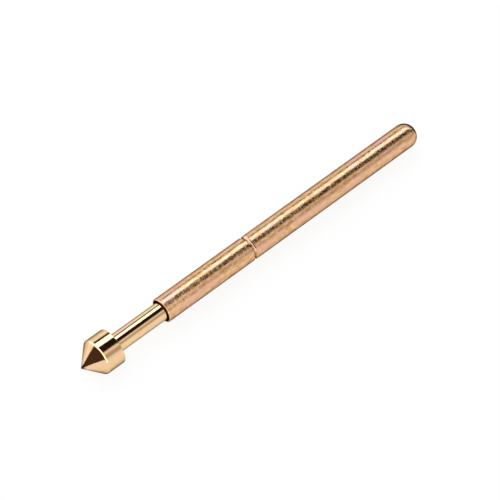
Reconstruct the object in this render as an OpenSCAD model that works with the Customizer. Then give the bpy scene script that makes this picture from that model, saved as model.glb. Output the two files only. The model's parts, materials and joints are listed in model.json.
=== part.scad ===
// Spring-loaded contact probe (pogo pin): a gold plated barrel, a cone-headed
// plunger that slides in it, and the coil spring that pushes the plunger out.
// It lies along X with the contact tip towards -X and the closed tail towards +X.
// The origin is on the axis, in the middle of the barrel's straight outside, which a
// receptacle grips. All lengths are in millimetres.

/* [Barrel] */
// Outside diameter of the drawn tube
barrel_d = 1.36; // [1.2:0.01:1.7]
// Length from the mouth to the closed tail
barrel_l = 17.6; // [15:0.1:26]
// Wall thickness of the drawn tube
barrel_wall = 0.135; // [0.12:0.005:0.18]
// Thickness of the closed tail on the axis
tail_floor = 0.45; // [0.35:0.01:0.6]
// Radius of the small flat left in the middle of the rounded tail
tail_flat_r = 0.04; // [0.02:0.01:0.2]

/* [Mouth] */
// Radius that breaks the outer edge of the mouth
mouth_round = 0.05; // [0.02:0.01:0.06]
// Countersink at the inner edge of the mouth
mouth_chamfer = 0.05; // [0.02:0.01:0.06]

/* [Crimp ring] */
// Distance from the mouth to the middle of the crimp ring
ring_from_mouth = 5.85; // [5:0.05:8]
// Depth to which the ring is rolled into the tube
ring_depth = 0.06; // [0.05:0.005:0.08]
// Radius of the wheel that rolls the ring
ring_wheel_r = 0.09; // [0.07:0.01:0.14]
// Radius of the shoulders on both sides of the ring
ring_shoulder_r = 0.05; // [0.03:0.01:0.08]
// Radius where the bump inside the bore runs out into the bore
bump_runout_r = 0.04; // [0.02:0.005:0.06]

/* [Plunger head] */
// Diameter of the head
head_d = 1.98; // [1.6:0.02:2.4]
// Length of the head's cylinder, behind the cone
head_l = 1.06; // [0.6:0.02:1.6]
// Full angle of the contact cone, in degrees
tip_angle = 90; // [60:5:120]
// Radius of the very tip of the cone
tip_round = 0.025; // [0.01:0.005:0.06]
// Radius that breaks the rear edge of the head
head_edge = 0.05; // [0.02:0.005:0.1]
// Fillet at the root of the stem, behind the head
stem_fillet = 0.05; // [0.02:0.005:0.1]

/* [Plunger travel] */
// How far the plunger can be pressed in
travel = 2.7; // [2:0.1:3.4]
// Gap left between head and mouth when the plunger is pressed right in
head_gap = 0.48; // [0.1:0.01:0.8]

/* [Plunger guide and tail] */
// Depth in the barrel at which the guide starts with the plunger out
guide_depth = 0.35; // [0.2:0.05:0.6]
// How far the guide stands out of the stem, on the radius
guide_step = 0.025; // [0.01:0.005:0.04]
// Length of the collar that the crimp ring holds back
collar_l = 1.2; // [0.8:0.05:1.8]
// Length of the pilot that centres the spring
pilot_l = 0.65; // [0.4:0.05:1]
// Chamfer at the ends of the collar and of the pilot
tail_chamfer = 0.06; // [0.02:0.01:0.1]

/* [Spring] */
// Diameter of the spring wire
wire_d = 0.16; // [0.12:0.005:0.19]
// Pitch of the open coils with the plunger out
coil_pitch = 0.345; // [0.3:0.005:0.5]
// Closed turns at each end
closed_turns = 1; // [1:0.5:2]

/* [Clearances] */
// Radial clearance of the guide in the bore
guide_fit = 0.02; // [0.01:0.005:0.03]
// Radial clearance of the collar in the bore
collar_fit = 0.025; // [0.02:0.005:0.04]
// Radial clearance of the neck inside the crimp ring's bump
neck_fit = 0.035; // [0.03:0.005:0.06]
// Radial clearance of the spring in the bore
spring_fit = 0.045; // [0.035:0.005:0.06]
// Radial clearance of the pilot in the spring
pilot_fit = 0.025; // [0.015:0.005:0.04]
// Gap left where the plunger meets its stops and the spring its seats
seat_gap = 0.01; // [0.005:0.005:0.02]

/* [Hidden] */

// Steps in each rounded corner of a turned outline
corner_steps = 10;
// Facets round a turned piece where it is shown as a mesh
$fn = 96;
// Steps round one turn of the spring, and round its wire
turn_steps = 18;
wire_sides = 8;
// Room between the turns of a closed end, as a share of the wire
closed_room = 1.06;

// Radii of the barrel. crest_r is the top of the bump that the crimp ring raises in the bore
barrel_r = barrel_d / 2;
bore_r = barrel_r - barrel_wall;
crest_r = bore_r - ring_depth;
bump_r = ring_wheel_r + barrel_wall;
tail_round = barrel_r - tail_flat_r;
floor_round = spring_fit - seat_gap;

// Radii of what runs in the barrel, from the bore inwards
guide_r = bore_r - guide_fit;
stem_r = guide_r - guide_step;
collar_r = bore_r - collar_fit;
neck_r = crest_r - neck_fit;
head_r = head_d / 2;
wire_r = wire_d / 2;
coil_r = bore_r - spring_fit - wire_r;
pilot_r = coil_r - wire_r - pilot_fit;

// Places of the barrel along X. The grip is its straight outside, crimp ring included
grip_l = barrel_l - mouth_round - tail_round;
mouth_x = -grip_l / 2 - mouth_round;
ring_x = mouth_x + ring_from_mouth;
tail_x = mouth_x + barrel_l;
floor_x = tail_x - tail_floor;

// Places of the plunger along X, with the collar at rest against the crimp ring
head_back_x = mouth_x - travel - head_gap;
head_front_x = head_back_x - head_l;
cone_half = tip_angle / 2;
tip_centre_x = head_front_x - head_r / tan(cone_half) + tip_round / sin(cone_half);
guide_x = mouth_x + guide_depth;
neck_x = ring_x - bump_reach(guide_r) - seat_gap - travel;
collar_x = ring_x + bump_reach(collar_r) + seat_gap;
collar_end_x = collar_x + collar_l;

// Spring between the collar and the closed tail, with whole open turns
spring_x = collar_end_x + seat_gap;
spring_l = floor_x - seat_gap - spring_x;
closed_pitch = wire_d * closed_room;
closed_l = closed_turns * closed_pitch;
open_turns = round((spring_l - 2 * closed_l) / coil_pitch);
open_pitch = (spring_l - 2 * closed_l) / open_turns;
total_turns = open_turns + 2 * closed_turns;

// Distance from the middle of the ring at which its inner bump has radius r
function bump_reach(r) = sqrt(pow(bump_r, 2) - pow(crest_r + bump_r - r, 2));

// Points of an arc about centre c, as [radius, place along the axis]
function arc(c, r, from, to) =
    [for (i = [0 : corner_steps])
        let (a = from + (to - from) * i / corner_steps)
        [c[0] + r * cos(a), c[1] + r * sin(a)]];

function reversed(points) = [for (i = [len(points) - 1 : -1 : 0]) points[i]];

// Outline of a ring rolled into a wall of radius wall_r, from its +X side to its -X side:
// a shoulder, the hollow that the wheel leaves, and the other shoulder
function rolled_ring(wall_r, wheel_r, shoulder_r) =
    let (
        half = sqrt(ring_depth * (2 * (wheel_r + shoulder_r) - ring_depth)),
        slope = asin(half / (wheel_r + shoulder_r)),
        shoulder_c = wall_r - shoulder_r,
        wheel_c = wall_r - ring_depth + wheel_r
    )
    concat(
        arc([shoulder_c, ring_x + half], shoulder_r, 0, -slope),
        arc([wheel_c, ring_x], wheel_r, 180 - slope, 180 + slope),
        arc([shoulder_c, ring_x - half], shoulder_r, slope, 0)
    );

// A turned piece: an outline of [radius, X] points revolved about the X axis
module turned(outline) rotate([0, 90, 0]) rotate_extrude() polygon(outline);

// One deep drawn tube: closed rounded tail, crimp ring, and a mouth cut square
module barrel() {
    outside = concat(
        [[0, tail_x]],
        arc([barrel_r - tail_round, tail_x - tail_round], tail_round, 90, 0),
        rolled_ring(barrel_r, ring_wheel_r, ring_shoulder_r),
        arc([barrel_r - mouth_round, mouth_x + mouth_round], mouth_round, 0, -90)
    );
    inside = concat(
        [[bore_r + mouth_chamfer, mouth_x], [bore_r, mouth_x + mouth_chamfer]],
        reversed(rolled_ring(bore_r, bump_r, bump_runout_r)),
        arc([bore_r - floor_round, floor_x - floor_round], floor_round, 0, 90),
        [[0, floor_x]]
    );
    color([0.83, 0.63, 0.43]) turned(concat(outside, inside));
}

// One turned bar: contact cone, head, stem, guide, neck that clears the crimp ring, collar and pilot
module plunger() {
    head = concat(
        [[0, tip_centre_x - tip_round]],
        arc([0, tip_centre_x], tip_round, -90, -cone_half),
        [[head_r, head_front_x]],
        arc([head_r - head_edge, head_back_x - head_edge], head_edge, 0, 90),
        arc([stem_r + stem_fillet, head_back_x + stem_fillet], stem_fillet, 270, 180)
    );
    shank = [
        [stem_r, guide_x],
        [guide_r, guide_x + guide_step],
        [guide_r, neck_x],
        [neck_r, neck_x],
        [neck_r, collar_x],
        [collar_r, collar_x],
        [collar_r, collar_end_x - tail_chamfer],
        [collar_r - tail_chamfer, collar_end_x],
        [pilot_r, collar_end_x],
        [pilot_r, collar_end_x + pilot_l - tail_chamfer],
        [pilot_r - tail_chamfer, collar_end_x + pilot_l],
        [0, collar_end_x + pilot_l]
    ];
    color([0.9, 0.74, 0.42]) turned(concat(head, shank));
}

// Place along the spring of the wire's centre after t turns
function coil_place(t) =
    t < closed_turns ? t * closed_pitch
    : t < total_turns - closed_turns ? closed_l + (t - closed_turns) * open_pitch
    : spring_l - (total_turns - t) * closed_pitch;

// Section of the wire after t turns. Both ends of the spring are ground flat
function wire_section(t) =
    [for (side = [0 : wire_sides - 1])
        let (
            a = 360 * side / wire_sides,
            r = coil_r + wire_r * sin(a),
            x = coil_place(t) + wire_r * cos(a)
        )
        [spring_x + max(0, min(spring_l, x)), r * cos(360 * t), r * sin(360 * t)]];

// Compression spring with closed and ground ends, as one swept wire
module spring() {
    last = ceil(total_turns * turn_steps);
    points = [for (i = [0 : last]) each wire_section(total_turns * i / last)];
    sleeve = [for (i = [0 : last - 1], side = [0 : wire_sides - 1])
        let (
            a = i * wire_sides,
            next = (side + 1) % wire_sides
        )
        each [
            [a + side, a + wire_sides + side, a + next],
            [a + next, a + wire_sides + side, a + wire_sides + next]
        ]];
    // Each end is a fan from the point of the section that is farthest from its ground face
    opposite = wire_sides / 2;
    first_end = [for (side = [1 : wire_sides - 2]) [0, side, side + 1]];
    last_end = [for (side = [1 : wire_sides - 2])
        [for (corner = [0, side + 1, side]) last * wire_sides + (opposite + corner) % wire_sides]];
    color([0.72, 0.73, 0.75]) polyhedron(points, concat(sleeve, first_end, last_end));
}

barrel();
plunger();
spring();
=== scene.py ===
"""A spring contact probe: turned plunger, drawn barrel and the spring inside, in one frame."""

import json
import math

import bpy
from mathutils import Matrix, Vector


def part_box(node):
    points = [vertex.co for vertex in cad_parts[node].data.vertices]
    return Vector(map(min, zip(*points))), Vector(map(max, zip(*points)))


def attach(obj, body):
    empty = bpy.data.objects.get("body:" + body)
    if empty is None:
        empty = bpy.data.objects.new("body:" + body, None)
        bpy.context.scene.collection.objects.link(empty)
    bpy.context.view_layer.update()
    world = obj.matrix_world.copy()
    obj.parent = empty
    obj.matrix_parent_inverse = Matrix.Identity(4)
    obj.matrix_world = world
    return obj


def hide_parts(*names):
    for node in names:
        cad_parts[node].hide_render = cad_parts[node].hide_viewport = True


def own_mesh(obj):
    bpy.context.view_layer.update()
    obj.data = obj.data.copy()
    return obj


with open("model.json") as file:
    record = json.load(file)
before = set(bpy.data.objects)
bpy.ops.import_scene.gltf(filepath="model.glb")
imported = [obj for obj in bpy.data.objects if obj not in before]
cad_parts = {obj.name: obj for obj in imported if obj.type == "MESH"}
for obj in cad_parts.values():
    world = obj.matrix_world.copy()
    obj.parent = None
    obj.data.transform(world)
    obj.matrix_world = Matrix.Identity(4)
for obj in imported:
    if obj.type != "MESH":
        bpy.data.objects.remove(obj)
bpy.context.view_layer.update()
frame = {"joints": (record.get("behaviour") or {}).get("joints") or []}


# ---------------------------------------------------------------------------------------
# Barrel: one tube, deep drawn from phosphor bronze with a closed, domed tail. Its mouth is
# cut square and countersunk, and a ring is rolled in to hold the plunger's collar. It is
# plated rose gold over the drawn skin, which is left satin and a little uneven.

barrel_low, barrel_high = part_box("barrel")
mouth_x, tail_x = barrel_low.x, barrel_high.x
barrel_r = barrel_high.z
barrel_wall = 0.135e-3
bore_r = barrel_r - barrel_wall
mouth_round = 0.05e-3
mouth_chamfer = 0.05e-3
tail_flat_r = 0.04e-3
tail_round = barrel_r - tail_flat_r
tail_floor = 0.45e-3
floor_round = 0.035e-3
ring_from_mouth = 5.85e-3
ring_x = mouth_x + ring_from_mouth
ring_depth = 0.06e-3
ring_wheel_r = 0.14e-3
ring_shoulder_r = 0.02e-3
bump_r = 0.225e-3
bump_runout_r = 0.04e-3


def rolled_ring(wall_r, wheel_r, shoulder_r):
    """Corners of a ring rolled into a wall, from its tail side to its mouth side."""
    half = math.sqrt(ring_depth * (2 * (wheel_r + shoulder_r) - ring_depth))
    slope = math.asin(half / (wheel_r + shoulder_r))
    corner = half - shoulder_r * math.tan(slope / 2)
    return [
        (ring_x + corner, wall_r, shoulder_r),
        (ring_x, wall_r - corner * math.tan(slope), wheel_r),
        (ring_x - corner, wall_r, shoulder_r),
    ]


def rounded(corners, steps=14):
    """Outline through (place along X, radius, rounding) corners, each rounding as an arc."""
    outline = []
    for i, (x, r, rounding) in enumerate(corners):
        if not rounding:
            outline.append((x, r))
            continue
        before, after = corners[i - 1], corners[i + 1]
        ax, ar = before[0] - x, before[1] - r
        bx, br = after[0] - x, after[1] - r
        a_len, b_len = math.hypot(ax, ar), math.hypot(bx, br)
        ax, ar, bx, br = ax / a_len, ar / a_len, bx / b_len, br / b_len
        half_angle = math.acos(ax * bx + ar * br) / 2
        reach = rounding / math.tan(half_angle)
        mid_x, mid_r = ax + bx, ar + br
        mid = rounding / math.sin(half_angle) / math.hypot(mid_x, mid_r)
        centre_x, centre_r = x + mid_x * mid, r + mid_r * mid
        start = math.atan2(r + ar * reach - centre_r, x + ax * reach - centre_x)
        end = math.atan2(r + br * reach - centre_r, x + bx * reach - centre_x)
        turn = (end - start + math.pi) % (2 * math.pi) - math.pi
        for step in range(steps + 1):
            a = start + turn * step / steps
            outline.append((centre_x + rounding * math.cos(a), centre_r + rounding * math.sin(a)))
    return outline


def link(tree, *pairs):
    """Join pairs of sockets, each an output and the input that it feeds."""
    for source, target in pairs:
        tree.links.new(source, target)


def maths(tree, operation, *values):
    """Output of a Math node on numbers or sockets."""
    step = tree.nodes.new("ShaderNodeMath")
    step.operation = operation
    for socket, value in zip(step.inputs, values):
        if isinstance(value, (int, float)):
            socket.default_value = value
        else:
            tree.links.new(value, socket)
    return step.outputs[0]


def shaping_tree(name, **inputs):
    """Empty Geometry Nodes tree with named inputs, its input sockets and its output."""
    tree = bpy.data.node_groups.new(name, "GeometryNodeTree")
    for socket, kind in inputs.items():
        tree.interface.new_socket(socket, in_out="INPUT", socket_type="NodeSocket" + kind)
    tree.interface.new_socket("piece", in_out="OUTPUT", socket_type="NodeSocketGeometry")
    given = tree.nodes.new("NodeGroupInput").outputs
    return tree, given, tree.nodes.new("NodeGroupOutput").inputs["piece"]


def finished_piece(tree, shape, sharp_angle, finish, made):
    """End of a tree: shaded smooth but for sharp edges, made real, and given its finish."""
    smooth = tree.nodes.new("GeometryNodeSetShadeSmooth")
    sharp = tree.nodes.new("GeometryNodeSetShadeSmooth")
    sharp.domain = "EDGE"
    sharp.inputs["Shade Smooth"].default_value = False
    bend = tree.nodes.new("GeometryNodeInputMeshEdgeAngle").outputs["Unsigned Angle"]
    whole = tree.nodes.new("GeometryNodeRealizeInstances")
    coated = tree.nodes.new("GeometryNodeSetMaterial")
    link(
        tree,
        (shape, smooth.inputs["Geometry"]),
        (smooth.outputs[0], sharp.inputs["Geometry"]),
        (maths(tree, "GREATER_THAN", bend, sharp_angle), sharp.inputs["Selection"]),
        (sharp.outputs[0], whole.inputs[0]),
        (whole.outputs[0], coated.inputs["Geometry"]),
        (finish, coated.inputs["Material"]),
        (coated.outputs[0], made),
    )


def turning_tree():
    """Tree that turns an outline of (X, radius) points about the X axis."""
    tree, given, made = shaping_tree(
        "turned_outline",
        outline="Geometry",
        steps_round="Int",
        seam_gap="Float",
        sharp_angle="Float",
        finish="Material",
    )
    node = tree.nodes.new

    # A grid with a row for each point of the outline and a column for each step round
    size = node("GeometryNodeAttributeDomainSize")
    grid = node("GeometryNodeMeshGrid")
    columns = maths(tree, "ADD", given["steps_round"], 1)
    link(
        tree,
        (given["outline"], size.inputs["Geometry"]),
        (size.outputs["Point Count"], grid.inputs["Vertices X"]),
        (columns, grid.inputs["Vertices Y"]),
    )
    index = node("GeometryNodeInputIndex").outputs[0]
    row = maths(tree, "FLOOR", maths(tree, "DIVIDE", maths(tree, "ADD", index, 0.5), columns))
    column = maths(tree, "SUBTRACT", index, maths(tree, "MULTIPLY", row, columns))
    step_angle = maths(tree, "DIVIDE", 2 * math.pi, given["steps_round"])
    angle = maths(tree, "MULTIPLY", column, step_angle)

    # Each row goes to the X and the radius of its point, wrapped round the axis
    point = node("GeometryNodeSampleIndex")
    point.data_type = "FLOAT_VECTOR"
    outline_place = node("ShaderNodeSeparateXYZ")
    turned_place = node("ShaderNodeCombineXYZ")
    radius = outline_place.outputs["Y"]
    turned = node("GeometryNodeSetPosition")
    closed = node("GeometryNodeMergeByDistance")
    link(
        tree,
        (given["outline"], point.inputs["Geometry"]),
        (node("GeometryNodeInputPosition").outputs[0], point.inputs["Value"]),
        (row, point.inputs["Index"]),
        (point.outputs["Value"], outline_place.inputs[0]),
        (outline_place.outputs["X"], turned_place.inputs["X"]),
        (maths(tree, "MULTIPLY", radius, maths(tree, "COSINE", angle)), turned_place.inputs["Y"]),
        (maths(tree, "MULTIPLY", radius, maths(tree, "SINE", angle)), turned_place.inputs["Z"]),
        (grid.outputs["Mesh"], turned.inputs["Geometry"]),
        (turned_place.outputs[0], turned.inputs["Position"]),
        (turned.outputs[0], closed.inputs["Geometry"]),
        (given["seam_gap"], closed.inputs["Distance"]),
    )
    finished_piece(tree, closed.outputs[0], given["sharp_angle"], given["finish"], made)
    return tree


def grown(name, mesh, tree, **inputs):
    """A plain mesh object made by running a tree on a mesh, with its inputs set by name."""
    seed = bpy.data.objects.new(name + "_seed", mesh)
    bpy.context.scene.collection.objects.link(seed)
    modifier = seed.modifiers.new(tree.name, "NODES")
    modifier.node_group = tree
    identifiers = {
        item.name: item.identifier for item in tree.interface.items_tree if item.in_out == "INPUT"
    }
    for socket, value in inputs.items():
        modifier[identifiers[socket]] = value
    evaluated = seed.evaluated_get(bpy.context.evaluated_depsgraph_get())
    plain = bpy.data.meshes.new_from_object(evaluated)
    bpy.data.objects.remove(seed)
    plain.name = name
    piece = bpy.data.objects.new(name, plain)
    bpy.context.scene.collection.objects.link(piece)
    return piece


# Edges that bend by more than this are the ones that a tool leaves sharp
sharp_angle = math.radians(25)
seam_gap = 1e-9
turning = turning_tree()


def turned_piece(name, corners, steps_round, finish):
    """A closed piece turned about X. Its corners run from its +X end and over its outside first,
    so that its faces point outwards."""
    outline = rounded(corners)
    mesh = bpy.data.meshes.new(name + "_outline")
    edges = [(i, i + 1) for i in range(len(outline) - 1)]
    mesh.from_pydata([(x, r, 0) for x, r in outline], edges, [])
    return grown(
        name,
        mesh,
        turning,
        steps_round=steps_round,
        seam_gap=seam_gap,
        sharp_angle=sharp_angle,
        finish=finish,
    )


def noise(tree, place, scale, stretch=(1, 1, 1), detail=2.0):
    """Noise over a place, in features of about 1 / scale metres, longer where stretch is small."""
    mapping = tree.nodes.new("ShaderNodeMapping")
    mapping.inputs["Scale"].default_value = stretch
    speckle = tree.nodes.new("ShaderNodeTexNoise")
    speckle.inputs["Scale"].default_value = scale
    speckle.inputs["Detail"].default_value = detail
    link(tree, (place, mapping.inputs["Vector"]), (mapping.outputs[0], speckle.inputs["Vector"]))
    return speckle.outputs["Fac"]


def between(tree, value, low, high, to_low=0.0, to_high=1.0):
    """A value's way from low to high, as a share or in another range."""
    band = tree.nodes.new("ShaderNodeMapRange")
    band.inputs["From Min"].default_value = low
    band.inputs["From Max"].default_value = high
    band.inputs["To Min"].default_value = to_low
    band.inputs["To Max"].default_value = to_high
    tree.links.new(value, band.inputs["Value"])
    return band.outputs["Result"]


def shade(tree, share, first, second):
    """A share of the way from the first colour to the second."""
    mix = tree.nodes.new("ShaderNodeMix")
    mix.data_type = "RGBA"
    tree.links.new(share, mix.inputs["Factor"])
    for socket, colour in ((mix.inputs["A"], first), (mix.inputs["B"], second)):
        if isinstance(colour, tuple):
            socket.default_value = (*colour, 1)
        else:
            tree.links.new(colour, socket)
    return mix.outputs["Result"]


def place_on_piece(tree):
    """Sockets X, Y and Z of the point of the piece that is being coloured."""
    place = tree.nodes.new("ShaderNodeSeparateXYZ")
    tree.links.new(tree.nodes.new("ShaderNodeTexCoord").outputs["Object"], place.inputs[0])
    return place.outputs


def metal_finish(name, bright, deep, blush, grazing_shade, roughness, marks):
    """Metal with patches of two shades, a blush, a tint that paints shade into its reflection at
    grazing angles, roughness from its least to its most, and marks as (noise, depth)."""
    finish = bpy.data.materials.new(name)
    finish.use_nodes = True
    tree = finish.node_tree
    metal = tree.nodes["Principled BSDF"].inputs
    metal["Metallic"].default_value = 1
    # The edge tint darkens the reflection where the surface turns away: painted shade along the
    # outlines
    metal["Specular Tint"].default_value = (*grazing_shade, 1)
    place = tree.nodes.new("ShaderNodeTexCoord").outputs["Object"]
    mottling = noise(tree, place, scale=8000, stretch=(0.4, 1, 1), detail=5)
    patches = between(tree, mottling, low=0.38, high=0.62)
    clouds = noise(tree, place, scale=2300, stretch=(0.3, 1, 1))
    flush = between(tree, clouds, low=0.46, high=0.7)
    gloss = noise(tree, place, scale=9000, stretch=(1, 0.6, 0.6))
    relief = None
    for (scale, stretch), depth in marks:
        bump = tree.nodes.new("ShaderNodeBump")
        bump.inputs["Distance"].default_value = depth
        link(tree, (noise(tree, place, scale, stretch), bump.inputs["Height"]))
        if relief:
            link(tree, (relief, bump.inputs["Normal"]))
        relief = bump.outputs[0]
    link(
        tree,
        (shade(tree, flush, shade(tree, patches, bright, deep), blush), metal["Base Color"]),
        (between(tree, gloss, 0.36, 0.64, *roughness), metal["Roughness"]),
        (relief, metal["Normal"]),
    )
    return finish


drawing_lines = (30000, (0.05, 1, 1))
orange_peel = (7000, (1, 1, 1))
tumbling_pits = (15000, (1, 1, 1))
barrel_gold = metal_finish(
    "barrel_gold",
    bright=(0.86, 0.56, 0.32),
    deep=(0.66, 0.36, 0.16),
    blush=(0.82, 0.46, 0.33),
    # A near-black edge tint: painted shade along the barrel's outlines
    grazing_shade=(0.05, 0.04, 0.04),
    roughness=(0.17, 0.30),
    marks=((drawing_lines, 1e-6), (orange_peel, 4e-6), (tumbling_pits, 5e-6)),
)

# The ring is burnished by the wheel that rolled it. The bore, its chamfer and the mouth's face are
# painted dark: painted shade in the recess round the plunger
burnished_reach = 0.13e-3
satin_reach = 0.16e-3
burnished_share = 0.15
face_r = barrel_r - mouth_round
face_blend = 0.02e-3
dome_x = tail_x - tail_round
bore_painted_shade = (0.035, 0.018, 0.010)
tree = barrel_gold.node_tree
metal = tree.nodes["Principled BSDF"].inputs
place = place_on_piece(tree)
from_ring = maths(tree, "ABSOLUTE", maths(tree, "SUBTRACT", place["X"], ring_x))
satin = between(tree, from_ring, burnished_reach, satin_reach, to_low=burnished_share)
for step in tree.nodes:
    if step.type == "BUMP":
        tree.links.new(satin, step.inputs["Strength"])
gloss = metal["Roughness"].links[0].from_socket
skin = metal["Base Color"].links[0].from_socket
squares = [maths(tree, "POWER", place[axis], 2) for axis in "YZ"]
radius = maths(tree, "SQRT", maths(tree, "ADD", *squares))
# Inside the mouth's face, short of the dome, the colour is the painted shade of the recess
outside = between(tree, radius, face_r - face_blend, face_r)
clear_of_bore_shade = maths(tree, "MAXIMUM", outside, maths(tree, "GREATER_THAN", place["X"], dome_x))
link(
    tree,
    (maths(tree, "MULTIPLY", gloss, satin), metal["Roughness"]),
    (shade(tree, clear_of_bore_shade, bore_painted_shade, skin), metal["Base Color"]),
)

barrel_corners = [
    (tail_x, 0, 0),
    (tail_x, barrel_r, tail_round),
    *rolled_ring(barrel_r, ring_wheel_r, ring_shoulder_r),
    (mouth_x, barrel_r, mouth_round),
    (mouth_x, bore_r + mouth_chamfer, 0),
    (mouth_x + mouth_chamfer, bore_r, 0),
    *reversed(rolled_ring(bore_r, bump_r, bump_runout_r)),
    (tail_x - tail_floor, bore_r, floor_round),
    (tail_x - tail_floor, 0, 0),
]
barrel = turned_piece("barrel_tube", barrel_corners, steps_round=160, finish=barrel_gold)
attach(barrel, "barrel_body")
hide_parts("barrel")


# ---------------------------------------------------------------------------------------
# Plunger: one bar of beryllium copper, turned on a sliding-head lathe and plated bright
# gold. From the front: contact cone, head, stem, the guide that runs in the bore, the neck
# that clears the crimp ring, the collar that the ring holds, and the spring's pilot.

plunger_low, plunger_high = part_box("plunger")
spring_low, spring_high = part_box("spring")
head_r = plunger_high.z
head_l = 1.06e-3
head_rim = 0.17e-3
head_edge = 0.05e-3
tip_angle = math.radians(90)
tip_round = 0.025e-3
tip_flat_r = tip_round * math.tan((math.pi - tip_angle) / 4)
slides = [joint for joint in frame["joints"] if joint["name"] == "plunger_travel"]
travel = slides[0]["range_m"][1]
head_gap = 0.48e-3
head_back_x = mouth_x - travel - head_gap
head_front_x = head_back_x - head_l
guide_depth = 0.35e-3
guide_x = mouth_x + guide_depth
guide_fit = 0.02e-3
guide_r = bore_r - guide_fit
guide_step = 0.025e-3
stem_r = guide_r - guide_step
stem_fillet = 0.05e-3
seat_gap = 0.01e-3
crest_r = bore_r - ring_depth
neck_fit = 0.035e-3
neck_r = crest_r - neck_fit
bump_reach = math.sqrt(bump_r**2 - (crest_r + bump_r - guide_r) ** 2)
neck_x = ring_x - bump_reach - seat_gap - travel
collar_fit = 0.025e-3
collar_r = bore_r - collar_fit
collar_l = 1.2e-3
collar_end_x = spring_low.x - seat_gap
collar_x = collar_end_x - collar_l
pilot_r = 0.315e-3
tail_chamfer = 0.06e-3

plunger_gold = metal_finish(
    "plunger_gold",
    bright=(0.91, 0.65, 0.38),
    deep=(0.86, 0.58, 0.29),
    blush=(0.90, 0.58, 0.38),
    # A dark edge tint: painted shade along the plunger's outlines
    grazing_shade=(0.12, 0.10, 0.09),
    roughness=(0.03, 0.10),
    marks=((drawing_lines, 0.2e-6), (orange_peel, 1e-6), (tumbling_pits, 0.3e-6)),
)

# The very point is coloured dark bronze, fading into the gold a little way behind it
dark_point_colour = (0.10, 0.06, 0.03)
dark_point_l = 0.06e-3
dark_point_fade_l = 0.20e-3
tree = plunger_gold.node_tree
metal = tree.nodes["Principled BSDF"].inputs
place = place_on_piece(tree)
skin = metal["Base Color"].links[0].from_socket
behind_dark_point = between(tree, place["X"], plunger_low.x + dark_point_l, plunger_low.x + dark_point_fade_l)
link(tree, (shade(tree, behind_dark_point, dark_point_colour, skin), metal["Base Color"]))

plunger_corners = [
    (plunger_high.x, 0, 0),
    (plunger_high.x, pilot_r - tail_chamfer, 0),
    (plunger_high.x - tail_chamfer, pilot_r, 0),
    (collar_end_x, pilot_r, 0),
    (collar_end_x, collar_r - tail_chamfer, 0),
    (collar_end_x - tail_chamfer, collar_r, 0),
    (collar_x, collar_r, 0),
    (collar_x, neck_r, 0),
    (neck_x, neck_r, 0),
    (neck_x, guide_r, 0),
    (guide_x + guide_step, guide_r, 0),
    (guide_x, stem_r, 0),
    (head_back_x, stem_r, stem_fillet),
    (head_back_x, head_r, head_edge),
    (head_front_x, head_r, head_rim),
    (plunger_low.x, tip_flat_r, tip_round),
    (plunger_low.x, 0, 0),
]
plunger = turned_piece("plunger_bar", plunger_corners, steps_round=192, finish=plunger_gold)
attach(plunger, "plunger_body")
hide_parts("plunger")


# ---------------------------------------------------------------------------------------
# Spring: one drawn steel wire, coiled with closed and ground ends. It sits in the bore
# between the plunger's collar and the closed tail, and shortens as the plunger goes in.

spring_l = spring_high.x - spring_low.x
wire_r = 0.08e-3
spring_fit = 0.045e-3
coil_r = bore_r - spring_fit - wire_r
closed_turns = 1
closed_room = 1.06
closed_pitch = 2 * wire_r * closed_room
open_turns = 28
open_pitch = (spring_l - 2 * closed_turns * closed_pitch) / open_turns


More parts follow.
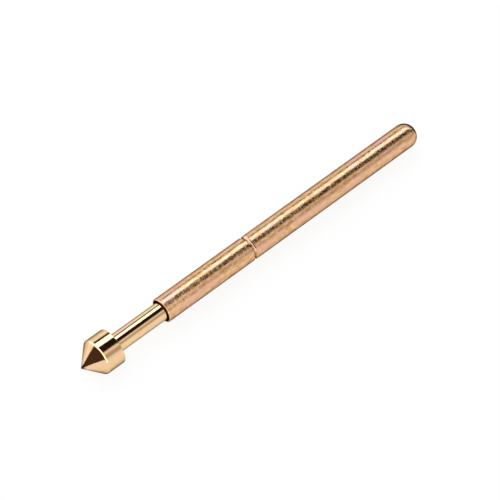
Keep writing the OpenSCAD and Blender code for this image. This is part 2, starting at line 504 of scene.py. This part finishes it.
def coiling_tree():
    """Tree that coils a wire along X, with closed turns at both ends, ground flat."""
    tree, given, made = shaping_tree(
        "coiled_wire",
        start_x="Float",
        end_x="Float",
        coil_r="Float",
        wire_r="Float",
        closed_turns="Int",
        closed_pitch="Float",
        open_turns="Int",
        open_pitch="Float",
        steps_a_turn="Int",
        wire_sides="Int",
        sharp_angle="Float",
        finish="Material",
    )
    node = tree.nodes.new

    # A straight line, one unit long for each turn
    turns = maths(tree, "MULTIPLY_ADD", given["closed_turns"], 2, given["open_turns"])
    far_end = node("ShaderNodeCombineXYZ")
    line = node("GeometryNodeCurvePrimitiveLine")
    stepped = node("GeometryNodeResampleCurve")
    points = maths(tree, "MULTIPLY_ADD", turns, given["steps_a_turn"], 1)
    link(
        tree,
        (turns, far_end.inputs["X"]),
        (far_end.outputs[0], line.inputs["End"]),
        (line.outputs[0], stepped.inputs["Curve"]),
        (points, stepped.inputs["Count"]),
    )

    # Each point goes round the coil, and along X by the pitch of the turns before it
    line_place = node("ShaderNodeSeparateXYZ")
    link(tree, (node("GeometryNodeInputPosition").outputs[0], line_place.inputs[0]))
    turn = line_place.outputs["X"]
    after_first = maths(tree, "SUBTRACT", turn, given["closed_turns"])
    in_open = maths(tree, "MAXIMUM", maths(tree, "MINIMUM", after_first, given["open_turns"]), 0)
    in_closed = maths(tree, "SUBTRACT", turn, in_open)
    closed_x = maths(tree, "MULTIPLY_ADD", in_closed, given["closed_pitch"], given["start_x"])
    angle = maths(tree, "MULTIPLY", turn, 2 * math.pi)
    coil_x = maths(tree, "MULTIPLY_ADD", in_open, given["open_pitch"], closed_x)
    coil_y = maths(tree, "MULTIPLY", maths(tree, "COSINE", angle), given["coil_r"])
    coil_z = maths(tree, "MULTIPLY", maths(tree, "SINE", angle), given["coil_r"])
    coil_place = node("ShaderNodeCombineXYZ")
    coil = node("GeometryNodeSetPosition")
    link(
        tree,
        (coil_x, coil_place.inputs["X"]),
        (coil_y, coil_place.inputs["Y"]),
        (coil_z, coil_place.inputs["Z"]),
        (stepped.outputs[0], coil.inputs["Geometry"]),
        (coil_place.outputs[0], coil.inputs["Position"]),
    )

    # The wire round that curve, cut off flat by the two ground faces
    section = node("GeometryNodeCurvePrimitiveCircle")
    wire = node("GeometryNodeCurveToMesh")
    wire.inputs["Fill Caps"].default_value = True
    wire_place = node("ShaderNodeSeparateXYZ")
    ground_place = node("ShaderNodeCombineXYZ")
    ground = node("GeometryNodeSetPosition")
    short_of_end = maths(tree, "MINIMUM", wire_place.outputs["X"], given["end_x"])
    within = maths(tree, "MAXIMUM", short_of_end, given["start_x"])
    link(
        tree,
        (given["wire_sides"], section.inputs["Resolution"]),
        (given["wire_r"], section.inputs["Radius"]),
        (coil.outputs[0], wire.inputs["Curve"]),
        (section.outputs[0], wire.inputs["Profile Curve"]),
        (node("GeometryNodeInputPosition").outputs[0], wire_place.inputs[0]),
        (within, ground_place.inputs["X"]),
        (wire_place.outputs["Y"], ground_place.inputs["Y"]),
        (wire_place.outputs["Z"], ground_place.inputs["Z"]),
        (wire.outputs[0], ground.inputs["Geometry"]),
        (ground_place.outputs[0], ground.inputs["Position"]),
    )
    finished_piece(tree, ground.outputs[0], given["sharp_angle"], given["finish"], made)
    return tree


spring_steel = metal_finish(
    "spring_steel",
    bright=(0.72, 0.73, 0.75),
    deep=(0.62, 0.63, 0.66),
    blush=(0.72, 0.68, 0.62),
    grazing_shade=(0.7, 0.7, 0.7),
    roughness=(0.15, 0.3),
    marks=((orange_peel, 0.8e-6), (tumbling_pits, 0.3e-6)),
)
spring = grown(
    "coil_spring",
    bpy.data.meshes.new("coil_start"),
    coiling_tree(),
    start_x=spring_low.x,
    end_x=spring_high.x,
    coil_r=coil_r,
    wire_r=wire_r,
    closed_turns=closed_turns,
    closed_pitch=closed_pitch,
    open_turns=open_turns,
    open_pitch=open_pitch,
    steps_a_turn=36,
    wire_sides=16,
    sharp_angle=sharp_angle,
    finish=spring_steel,
)
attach(spring, "spring_body")
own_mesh(spring)
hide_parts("spring")


# ---------------------------------------------------------------------------------------
# Studio: a pale floor that the head rests on, a black card beyond the tail, a light tent that
# is bright behind and below the probe and dark overhead, and the camera.

stage_scene = bpy.context.scene
stage_scene.view_settings.view_transform = "Standard"


def matt_coat(name, grey):
    """A dull material of one grey."""
    coat = bpy.data.materials.new(name)
    coat.use_nodes = True
    surface = coat.node_tree.nodes["Principled BSDF"].inputs
    surface["Base Color"].default_value = (grey, grey, grey, 1)
    surface["Roughness"].default_value = 1
    return coat


def lit_by_rays(tree, camera_share, glossy_share):
    """How much of its own light a surface shows: a share for the camera, and one for metal."""
    path = tree.nodes.new("ShaderNodeLightPath").outputs
    for_camera = maths(tree, "MULTIPLY", path["Is Camera Ray"], camera_share)
    for_metal = maths(tree, "MULTIPLY", path["Is Glossy Ray"], glossy_share)
    return maths(tree, "MAXIMUM", for_camera, for_metal)


def flat_sheet(name, corners, coat):
    """A flat sheet in the studio, with its corners in order round its edge."""
    mesh = bpy.data.meshes.new(name)
    mesh.from_pydata(corners, [], [tuple(range(len(corners)))])
    mesh.materials.append(coat)
    sheet = bpy.data.objects.new(name, mesh)
    stage_scene.collection.objects.link(sheet)
    return sheet


floor_reach = 0.6
floor_z = -head_r
white_paper = matt_coat("white_paper", 0.9)
tree = white_paper.node_tree
paper = tree.nodes["Principled BSDF"]
paper.inputs["Specular IOR Level"].default_value = 0
white = tree.nodes.new("ShaderNodeEmission")
lifted = tree.nodes.new("ShaderNodeMixShader")
link(
    tree,
    (lit_by_rays(tree, camera_share=0.88, glossy_share=0.85), lifted.inputs[0]),
    (paper.outputs[0], lifted.inputs[1]),
    (white.outputs[0], lifted.inputs[2]),
    (lifted.outputs[0], tree.nodes["Material Output"].inputs["Surface"]),
)
floor_sides = ((-1, -1), (1, -1), (1, 1), (-1, 1))
floor_corners = [(x * floor_reach, y * floor_reach, floor_z) for x, y in floor_sides]
floor = flat_sheet("floor", floor_corners, white_paper)

# A black card stands on the floor beyond the tail, where only the metal sees it
card_far_x, card_far_y = tail_x + 2.2e-3, -0.6e-3
card_near_x, card_near_y = tail_x + 0.9e-3, 3.2e-3
card_top_z = 1.1e-3
card_corners = [
    (card_far_x, card_far_y, floor_z),
    (card_far_x, card_far_y, card_top_z),
    (card_near_x, card_near_y, card_top_z),
    (card_near_x, card_near_y, floor_z),
]
card = flat_sheet("black_card", card_corners, matt_coat("black_card", 0.02))
card.visible_camera = False
card.visible_diffuse = False
card.visible_shadow = False

# The tent is a run of long strips that slant a little over the probe. Each row gives a
# direction, in degrees over the probe from behind it to in front of it, and the brightness and
# tint there.
plain, cool, warm, brown = (1, 1, 1), (0.93, 1, 1.12), (1, 0.93, 0.86), (1, 0.66, 0.4)
tent = [
    (0, 1.05, cool),
    (16, 1.22, cool),
    (27, 1.00, cool),
    (33, 0.50, warm),
    (36, 0.02, brown),
    (46.5, 0.02, brown),
    (49.5, 2.10, cool),
    (77.5, 2.10, cool),
    (80.5, 0.015, brown),
    (116.5, 0.015, brown),
    (121, 0.55, warm),
    (130, 0.98, plain),
    (141, 0.50, warm),
    (155, 0.48, warm),
    (168, 0.90, plain),
    (180, 0.95, plain),
]
brightest = max(level for _, level, _ in tent)
slant = math.radians(20)
unslanted_x = 0.36
strips_from_x, strips_full_x = 0.14, 0.26
front_level = 2.0
front_from_x, front_full_x = -0.6, -0.45
end_level = 1.1
near_end = (-0.96, -0.15, 0.24)
near_end_from, near_end_full = 0.69, 0.75
near_end_shade = (0.03, 0.018, 0.011)
world = bpy.data.worlds.new("studio")
stage_scene.world = world
world.use_nodes = True
tree = world.node_tree
background = tree.nodes["Background"].inputs
direction = tree.nodes.new("ShaderNodeSeparateXYZ")
looking_at = tree.nodes.new("ShaderNodeTexCoord").outputs["Generated"]
link(tree, (looking_at, direction.inputs[0]))
along = direction.outputs["X"]
square_over = maths(tree, "ARCTAN2", direction.outputs["Z"], direction.outputs["Y"])
slanted = maths(tree, "MULTIPLY", maths(tree, "SUBTRACT", along, unslanted_x), slant)
over = maths(tree, "SUBTRACT", square_over, slanted)

strips = tree.nodes.new("ShaderNodeValToRGB")
stops = strips.color_ramp.elements
for angle, _, _ in tent[1:-1]:
    stops.new(angle / 180)
for stop, (_, level, tint) in zip(stops, tent):
    stop.color = (*(level / brightest * share for share in tint), 1)

# The strips fill the tent towards the tail. Towards the tip it is plain, and its open near end
# is dark
toward_near_end = tree.nodes.new("ShaderNodeVectorMath")
toward_near_end.operation = "DOT_PRODUCT"
toward_near_end.inputs[1].default_value = near_end
end_light = (end_level / brightest,) * 3
front_light = (front_level / brightest,) * 3
front_share = between(tree, along, front_from_x, front_full_x)
strips_share = between(tree, along, strips_from_x, strips_full_x)
dark_share = between(tree, toward_near_end.outputs["Value"], near_end_from, near_end_full)
plain_tent = shade(tree, front_share, end_light, front_light)
whole_tent = shade(tree, strips_share, plain_tent, strips.outputs["Color"])
tent_light = shade(tree, dark_share, whole_tent, near_end_shade)
seen_by_camera = tree.nodes.new("ShaderNodeLightPath").outputs["Is Camera Ray"]
link(
    tree,
    (looking_at, toward_near_end.inputs[0]),
    (maths(tree, "DIVIDE", over, math.pi), strips.inputs[0]),
    (shade(tree, seen_by_camera, tent_light, (1 / brightest,) * 3), background["Color"]),
)
background["Strength"].default_value = brightest

azimuth, elevation = math.radians(-42.17), math.radians(52.64)
camera_distance = 0.1303
camera_left, camera_down = 0.148e-3, 0.2525e-3
toward_camera = Vector(
    (
        math.sin(azimuth) * math.cos(elevation),
        -math.cos(azimuth) * math.cos(elevation),
        math.sin(elevation),
    )
)
looking = (-toward_camera).to_track_quat("-Z", "Y")
right, up = looking @ Vector((1, 0, 0)), looking @ Vector((0, 1, 0))
middle = Vector(((plunger_low.x + tail_x) / 2, 0, 0))
camera_data = bpy.data.cameras.new("camera")
camera_data.lens = 183.9
camera_data.clip_start = 0.01
camera = bpy.data.objects.new("camera", camera_data)
camera.rotation_mode = "QUATERNION"
camera.rotation_quaternion = looking
camera.location = middle + toward_camera * camera_distance - right * camera_left - up * camera_down
stage_scene.collection.objects.link(camera)
stage_scene.camera = camera
